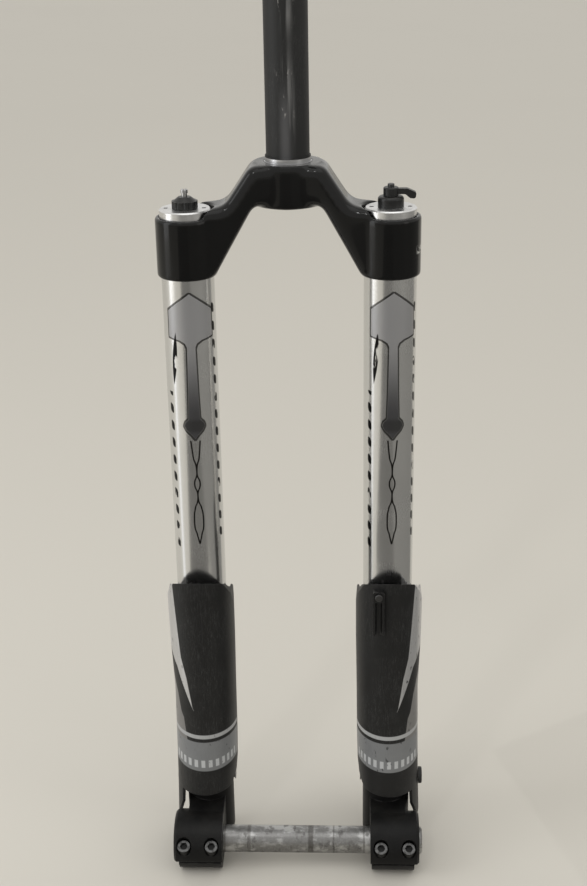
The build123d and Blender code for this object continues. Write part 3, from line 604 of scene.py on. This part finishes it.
def bolt_heads():
    """Zinc plated socket heads, dull on the rim, with painted shade in the hexagon and on the heads'
    sides.
    """
    made, graph, shader = start_material("bolt_zinc")
    x, y, z = graph.place()
    pair = graph.minus(graph.calc("ABSOLUTE", x), PAIR_X)
    across = graph.minus(graph.calc("ABSOLUTE", pair), BOLT_HALF_GAP)
    along = graph.plus(graph.times(graph.minus(y, AXLE_Y / MM + BOLT_AHEAD), BOLT_LEAN[0]),
                       graph.times(graph.minus(z, AXLE_Z / MM + BOLT_UP), BOLT_LEAN[1]))
    reach = graph.calc("SQRT", graph.plus(graph.times(across, across),
                                          graph.times(along, along)))
    # painted shade: the hex socket is darkened to near black, made less metallic and rougher
    hex_shade = graph.step(reach, 2.45, 2.95, 1.0, 0.0)
    # painted shade: the sides of the heads beyond the rim are darkened to near black
    side = graph.step(reach, 4.55, 4.85)
    dull = graph.step(graph.noise(420.0, detail=4.0), 0.45, 0.62)
    base = graph.mix(dull, 0.125, (0.065, 0.065, 0.064))
    base = graph.mix(side, base, 0.010)
    base = graph.coat(base, hex_shade, 0.95, 0.012)
    metallic = graph.minus(0.9, graph.times(hex_shade, 0.8))
    roughness = graph.plus(0.42, graph.times(hex_shade, 0.3))
    finish_from(graph, shader, base, roughness, metallic, graph.soft_corner(0.0003))
    return made


# bands of grime round the axle, from and to along X in millimetres
HUB_BAND = (8.5, 12.5)
THIN_BANDS = ((-37.0, -34.5), (27.0, 28.2), (-54.6, -53.2), (49.5, 51.0))


def axle_worn_alloy():
    """Bright axle, rubbed by hub and clamps: rings of wear, grime bands and dull patches."""
    made, graph, shader = start_material("axle_worn_alloy", Metallic=1.0)
    x = graph.place()[0]
    rings = graph.noise(650.0, (1.4, 0.05, 0.05), 3.0)
    patches = graph.step(graph.noise(95.0, (0.6, 1, 1), 5.0, 0.65), 0.44, 0.60)
    grime = graph.step(graph.noise(150.0, (1, 0.7, 0.7), 4.0, 0.6, 5.0), 0.55, 0.63)
    bands = graph.within(x, *HUB_BAND, 0.5)
    for low, high in THIN_BANDS:
        bands = graph.either(bands, graph.times(graph.within(x, low, high, 0.4), 0.75))
    scratch = graph.group(GROUPS["scratches"], Scale=120.0, Cover=0.7)["Scratch"]
    base = graph.mix(patches, (0.17, 0.168, 0.165), (0.44, 0.44, 0.435))
    base = graph.coat(base, rings, 0.35, (0.30, 0.30, 0.29))
    base = graph.coat(base, bands, 0.75, (0.06, 0.055, 0.05))
    base = graph.coat(base, grime, 0.55, (0.09, 0.085, 0.08))
    base = graph.coat(base, scratch, 0.4, 0.62)
    roughness = graph.plus(0.26, graph.times(graph.noise(110.0), 0.2))
    roughness = graph.plus(roughness, graph.times(grime, 0.2))
    finish_from(graph, shader, base, roughness, None, graph.bump(rings, 0.00004, 0.7))
    return made


def turned_metal(name, low, high, roughness):
    """Plain turned or plated metal for screws, rods and springs, with grease in patches."""
    made, graph, shader = start_material(name, Metallic=1.0)
    wear = graph.group(GROUPS["edge_wear"], Radius=0.0004, Spread=0.6, Scale=500.0)["Wear"]
    grime = graph.step(graph.noise(260.0, detail=5.0), 0.52, 0.68)
    base = graph.mix(graph.noise(180.0, detail=4.0), low, high)
    base = graph.coat(base, grime, 0.45, (0.07, 0.065, 0.06))
    base = graph.coat(base, wear, 0.5, 0.75)
    rough = graph.plus(roughness, graph.times(grime, 0.2))
    fine = graph.noise(600.0, (1, 1, 0.3), 3.0)
    finish_from(graph, shader, base, rough, None, graph.bump(fine, 0.00002, 0.5))
    return made


def dull_part(name, low, high, roughness):
    """Rubber, plastic or anodised black part with its skin, dust and rubbed corners."""
    made, graph, shader = start_material(name, Specular_IOR_Level=0.35)
    wear = graph.group(GROUPS["edge_wear"], Radius=0.0004, Spread=0.5, Scale=450.0)["Wear"]
    dust = graph.group(GROUPS["dust"], Amount=0.15)["Dust"]
    base = graph.mix(graph.noise(150.0, detail=4.0), low, high)
    base = graph.coat(base, dust, 0.5, (0.16, 0.15, 0.13))
    base = graph.coat(base, wear, 0.35, 0.18)
    rough = graph.plus(roughness, graph.times(dust, 0.2))
    grain = graph.group(GROUPS["grain"], Scale=1100.0)["Height"]
    finish_from(graph, shader, base, rough, None, graph.bump(grain, 0.00005, 0.6))
    return made


def stanchion_chrome():
    """Hard chromed stanchion with faint wiper lines along it."""
    made, graph, shader = start_material("stanchion_chrome", Metallic=1.0)
    wiped = graph.noise(500.0, (2.0, 2.0, 0.03), 3.0)
    base = graph.mix(wiped, (0.66, 0.67, 0.68), (0.80, 0.81, 0.82))
    film = graph.step(graph.noise(60.0, (1, 1, 0.3), 4.0), 0.4, 0.7)
    roughness = graph.plus(0.06, graph.times(film, 0.12))
    finish_from(graph, shader, base, roughness, None, graph.bump(wiped, 0.000006, 0.5))
    return made


# CAD node: its material, the darkest and lightest shade, and the roughness
TURNED_METALS = {
    "foot_bolt": ("foot_bolt_steel", 0.16, 0.26, 0.42),
    "guard_screws": ("screw_steel", 0.28, 0.44, 0.36),
    "hose_clip_screw": ("clip_screw_steel", 0.07, 0.13, 0.34),
    "seal_clip": ("seal_clip_wire", 0.40, 0.56, 0.3),
    "damper_rod": ("rod_hard_steel", (0.50, 0.50, 0.52), (0.66, 0.66, 0.68), 0.14),
    "damper_piston": ("piston_alloy", (0.52, 0.50, 0.42), (0.66, 0.64, 0.55), 0.3),
    "main_spring": ("spring_wire", (0.12, 0.13, 0.15), (0.22, 0.23, 0.26), 0.32),
    "cartridge_tube": ("cartridge_alloy", (0.52, 0.53, 0.54), (0.68, 0.69, 0.70), 0.28),
    "cartridge_head": ("cartridge_head_alloy", (0.40, 0.40, 0.41), (0.55, 0.55, 0.56), 0.3),
    "rebound_adjuster": ("adjuster_steel", 0.30, 0.55, 0.3),
    "lever_screw": ("lever_screw_black", 0.05, 0.11, 0.36),
}
DULL_PARTS = {
    "fixed_bush": ("bush_bronze_grey", (0.12, 0.10, 0.08), (0.20, 0.17, 0.13), 0.5),
    "slider_bush": ("bush_dark_liner", (0.05, 0.05, 0.045), (0.09, 0.085, 0.08), 0.55),
    "oil_seal": ("seal_rubber", 0.008, 0.014, 0.6),
    "dust_wiper": ("wiper_rubber", 0.010, 0.018, 0.66),
    "top_cap_o_ring": ("o_ring_rubber", 0.008, 0.013, 0.5),
    "preload_spacer": ("spacer_plastic", (0.015, 0.015, 0.016), 0.03, 0.5),
    "hose_clip": ("clip_plastic", 0.006, 0.012, 0.32),
    "hose_guide": ("guide_plastic", 0.010, 0.018, 0.45),
    "lockout_base": ("lockout_base_black", 0.007, 0.013, 0.34),
    "lockout_lever": ("lockout_lever_black", 0.009, 0.017, 0.36),
    "preload_knob": ("preload_knob_black", 0.008, 0.016, 0.34),
}
FINISHES = {
    "steerer_tube": steerer_charcoal(), "crown": crown_gloss_black(),
    "outer_tube_left": polished_tube("left", 1), "outer_tube_right": polished_tube("right", -1),
    "guard_left": guard_plastic("left", 1), "guard_right": guard_plastic("right", -1),
    "axle_foot": foot_satin_black(), "axle": axle_worn_alloy(), "stanchion": stanchion_chrome(),
    "top_cap": cap_silver(), "pinch_bolts": bolt_heads(),
}
FINISHES.update({node: turned_metal(*values) for node, values in TURNED_METALS.items()})
FINISHES.update({node: dull_part(*values) for node, values in DULL_PARTS.items()})


def finish_of(node_name):
    """Finish of a CAD node, by its own name or by its name without left or right."""
    for key in (node_name, node_name.rsplit("_", 1)[0]):
        if key in FINISHES:
            return FINISHES[key]
    raise KeyError(node_name)


def dress_cad_nodes():
    """Give every CAD node its finish."""
    for name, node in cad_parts.items():
        for socket in node.material_slots:
            socket.material = finish_of(name)


# ---- mesh helpers -------------------------------------------------------------------------------
def new_piece(name, mesh, body, stands_for, sharp=40.0):
    """Put a mesh in the scene as a piece that rides on a body and stands for its CAD node."""
    mesh.shade_smooth()
    mesh.set_sharp_from_angle(angle=math.radians(sharp))
    piece = bpy.data.objects.new(name, mesh)
    bpy.context.scene.collection.objects.link(piece)
    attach(piece, body)
    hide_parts(stands_for)
    piece.data.materials.append(finish_of(stands_for))
    return piece


def apply_modifiers(mesh, *modifiers, weights=None):
    """Mesh as it is after the modifiers, each a kind and its settings; weights name vertex groups."""
    maker = bpy.data.objects.new("maker", mesh)
    bpy.context.scene.collection.objects.link(maker)
    for label, values in (weights or {}).items():
        group = maker.vertex_groups.new(name=label)
        for index, value in enumerate(values):
            if value > 0.0:
                group.add([index], value, "REPLACE")
    for kind, settings in modifiers:
        added = maker.modifiers.new(kind.lower(), kind)
        for label, value in settings.items():
            setattr(added, label, value)
    shape = maker.evaluated_get(bpy.context.evaluated_depsgraph_get())
    result = bpy.data.meshes.new_from_object(shape)
    bpy.data.objects.remove(maker)
    result.materials.clear()
    return result


# ---- crown --------------------------------------------------------------------------------------
VOXEL = 0.8 * MM
SEAT_R, LEDGE_R, LEDGE_Z = 18.5 * MM, 22.5 * MM, -3.5 * MM     # the machined seat stays crisp
HUB_REACH, HUB_FADE = 50 * MM, 12 * MM                         # the hub and arms flow together here


def forged_crown():
    """Crown with the soft corners and flowing skin of a forging under thick paint."""
    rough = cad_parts["crown"].data.copy()
    skin = apply_modifiers(rough, ("REMESH", {"mode": "VOXEL", "voxel_size": VOXEL, "adaptivity": 0.0}))
    everywhere, flowing = [], []
    for vertex in skin.vertices:
        x, y, z = vertex.co
        from_steerer = math.hypot(x, y)
        on_seat = from_steerer < SEAT_R or (z > LEDGE_Z and from_steerer < LEDGE_R)
        everywhere.append(0.0 if on_seat else 1.0)
        near_hub = min(1.0, max(0.0, (HUB_REACH - abs(x)) / HUB_FADE))
        flowing.append(0.0 if on_seat else near_hub)
    shape = apply_modifiers(
        skin,
        ("SMOOTH", {"factor": 0.5, "iterations": 60, "vertex_group": "flowing"}),
        ("SMOOTH", {"factor": 0.5, "iterations": 14, "vertex_group": "everywhere"}),
        weights={"everywhere": everywhere, "flowing": flowing})
    return new_piece("crown_forging", shape, "uppers", "crown", 80.0)


# ---- springs ------------------------------------------------------------------------------------
WIRE_R, COILS, COIL_STEPS, WIRE_STEPS = 1.6 * MM, 15, 28, 10


def coil_spring(side_name):
    """Even wire coil of a main spring, filling the box of its CAD node."""
    low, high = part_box(f"main_spring_{side_name}")
    coil_r = (high.x - low.x) / 2 - WIRE_R
    centre = Vector(((low.x + high.x) / 2, (low.y + high.y) / 2))
    shape = bmesh.new()
    rings = []
    total = COILS * COIL_STEPS
    for step in range(total + 1):
        share = step / total
        angle = COILS * math.tau * share
        z = low.z + WIRE_R + (high.z - low.z - 2 * WIRE_R) * share
        ring = []
        for corner in range(WIRE_STEPS):
            tilt = math.tau * corner / WIRE_STEPS
            reach = coil_r + WIRE_R * math.cos(tilt)
            ring.append(shape.verts.new((centre.x + reach * math.cos(angle),
                                         centre.y + reach * math.sin(angle),
                                         z + WIRE_R * math.sin(tilt))))
        rings.append(ring)
    for near, far in zip(rings, rings[1:]):
        for corner in range(WIRE_STEPS):
            after = (corner + 1) % WIRE_STEPS
            shape.faces.new((near[corner], near[after], far[after], far[corner]))
    shape.faces.new(rings[0][::-1])
    shape.faces.new(rings[-1])
    bmesh.ops.recalc_face_normals(shape, faces=shape.faces)
    mesh = bpy.data.meshes.new(f"spring_coil_{side_name}")
    shape.to_mesh(mesh)
    shape.free()
    piece = new_piece(f"spring_coil_{side_name}", mesh, "uppers",
                      f"main_spring_{side_name}")
    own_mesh(piece)


# ---- stage, lights and camera -------------------------------------------------------------------
def plain_material(name, value, roughness):
    made, graph, shader = start_material(name)
    shade = graph.noise(1.3, detail=2.0)
    low = [part * 0.97 for part in value]
    finish_from(graph, shader, graph.mix(shade, low, value), roughness)
    return made


def flat_plane(name, corners, material):
    mesh = bpy.data.meshes.new(name)
    mesh.from_pydata(corners, [], [tuple(range(len(corners)))])
    plane = bpy.data.objects.new(name, mesh)
    bpy.context.scene.collection.objects.link(plane)
    plane.data.materials.append(material)
    return plane


FLOOR_REACH, FLOOR_COLOUR = 30.0, (0.60, 0.575, 0.52)


def pale_floor():
    """Wide plain floor just under the feet."""
    z = FLOOR_Z - 0.2 * MM
    corners = [(x * FLOOR_REACH, y * FLOOR_REACH, z) for x, y in ((-1, -1), (1, -1), (1, 1), (-1, 1))]
    flat_plane("floor", corners, plain_material("floor_pale", FLOOR_COLOUR, 0.7))


def mirror_card(name, corners, value):
    """Flat card on the floor that only shows in the polished surfaces."""
    card = flat_plane(name, corners, plain_material(f"{name}_grey", value, 0.9))
    card.visible_camera = False
    card.visible_diffuse = False
    card.visible_shadow = False
    card.visible_transmission = False


def soft_light(name, place, target, width, height, power, tint):
    """Rectangular lamp turned towards a point; sizes in metres, power in watts."""
    data = bpy.data.lights.new(name, "AREA")
    data.shape = "RECTANGLE"
    data.size, data.size_y = width, height
    data.energy = power
    data.color = tint
    lamp = bpy.data.objects.new(name, data)
    bpy.context.scene.collection.objects.link(lamp)
    lamp.location = place
    lamp.rotation_euler = (Vector(target) - Vector(place)).to_track_quat("-Z", "Y").to_euler()
    lamp.visible_camera = False


FORK_MIDDLE, CROWN_TOP = (0.0, -0.02, -0.2), (0.0, 0.0, -0.03)
# lamp: place, where it points, width, height, power, tint
LAMPS = {
    "window": ((-1.7, -0.55, 0.35), FORK_MIDDLE, 0.8, 2.0, 11.0, (0.97, 0.985, 1.0)),
    "overhead": ((0.3, -0.5, 2.1), FORK_MIDDLE, 1.8, 1.8, 7.0, (1.0, 1.0, 1.0)),
    "small_lamp": ((-0.55, -1.25, 1.55), CROWN_TOP, 0.10, 0.34, 2.6, (1.0, 1.0, 1.0)),
    "low_right": ((1.8, -1.1, 0.4), FORK_MIDDLE, 0.5, 1.4, 2.0, (1.0, 0.97, 0.92)),
}
# card: its colour, then its corners on the floor
CARDS = {
    "dark_front": ((0.15, 0.145, 0.135),
                   ((-1.7, -4.5), (0.45, -4.5), (0.30, -0.35), (-0.40, -0.30))),
    "bright_left": ((0.98, 0.98, 0.98),
                    ((-0.34, -0.115), (-1.7, -0.52), (-1.7, -0.20), (-0.34, -0.035))),
    "grey_right": ((0.24, 0.235, 0.22),
                   ((0.45, -4.5), (6.0, -4.5), (6.0, 4.0), (0.16, 0.1), (0.30, -0.35))),
}
ROOM_COLOUR, ROOM_STRENGTH = (1.0, 0.985, 0.95, 1.0), 0.84


def studio():
    """Pale room, soft lamps, and cards for the tubes to reflect."""
    world = bpy.data.worlds.new("pale_room")
    bpy.context.scene.world = world
    world.use_nodes = True
    backdrop = world.node_tree.nodes["Background"]
    backdrop.inputs["Color"].default_value = ROOM_COLOUR
    backdrop.inputs["Strength"].default_value = ROOM_STRENGTH
    for name, values in LAMPS.items():
        soft_light(name, *values)
    for name, (value, spots) in CARDS.items():
        mirror_card(name, [(x, y, FLOOR_Z + MM) for x, y in spots], value)


CAMERA_PLACE = Vector((0.0429, -0.92845, 0.17348))
CAMERA_DOWN, CAMERA_ROUND, CAMERA_TILT = 21.886, 2.626, -1.024       # degrees
CAMERA_LENS = 57.59


def camera():
    """Camera in front of the fork, looking down on it."""
    data = bpy.data.cameras.new("camera")
    data.sensor_width = 36.0
    data.lens = CAMERA_LENS
    data.clip_start, data.clip_end = 0.02, 200.0
    view = bpy.data.objects.new("camera", data)
    bpy.context.scene.collection.objects.link(view)
    pitch, yaw, roll = map(math.radians, (CAMERA_DOWN, CAMERA_ROUND, CAMERA_TILT))
    ahead = Vector((-math.sin(yaw) * math.cos(pitch), math.cos(yaw) * math.cos(pitch),
                    -math.sin(pitch)))
    right = Vector((math.cos(yaw), math.sin(yaw), 0.0))
    up = right.cross(ahead)
    turned_right = right * math.cos(roll) + up * math.sin(roll)
    turned_up = up * math.cos(roll) - right * math.sin(roll)
    columns = Matrix((turned_right, turned_up, -ahead)).transposed()
    view.matrix_world = Matrix.LocRotScale(CAMERA_PLACE, columns, None)
    bpy.context.scene.camera = view
    bpy.context.scene.view_settings.view_transform = "Standard"


# ---- build --------------------------------------------------------------------------------------
camera()
pale_floor()
studio()
dress_cad_nodes()
forged_crown()
for side_name in ("left", "right"):
    coil_spring(side_name)
